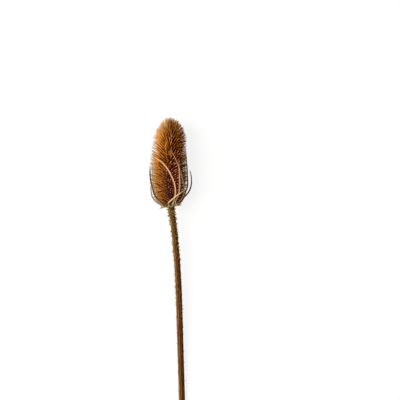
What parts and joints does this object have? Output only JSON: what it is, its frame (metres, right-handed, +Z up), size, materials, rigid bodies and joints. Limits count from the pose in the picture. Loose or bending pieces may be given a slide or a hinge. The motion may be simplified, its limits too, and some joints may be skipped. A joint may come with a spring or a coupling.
{
  "type": "dried teasel seed head",
  "caption": "Dried teasel seed head: a long egg of stiff spines with long curved bracts at its base, on a ridged prickly cut stem, lying on its side.",
  "frame": {"origin": "on the surface that the part lies on, under the middle of its box", "axes": "+Y runs up the stem to the tip of the head, +Z is up from the surface, and +X is to the right of both"},
  "size_m": [0.0377, 0.2598, 0.0331],
  "materials": {
    "spiny_head": "dry matt, dark red-brown at the roots of the spines, orange-brown along them and pinkish tan at their tips",
    "stem": "dry matt, ridged, olive-yellow under the head and pinkish brown lower down",
    "bract": "dry, slightly glossy pale straw to olive brown, fibrous along its length"
  },
  "bodies": {
    "root": {"seed_head": "spiny_head", "stem": "stem", "bract_01": "bract", "bract_02": "bract", "bract_03": "bract", "bract_04": "bract", "bract_05": "bract", "bract_06": "bract", "bract_07": "bract", "bract_08": "bract", "bract_09": "bract", "bract_10": "bract", "bract_11": "bract", "bract_12": "bract", "bract_13": "bract"}
  },
  "joints": []
}
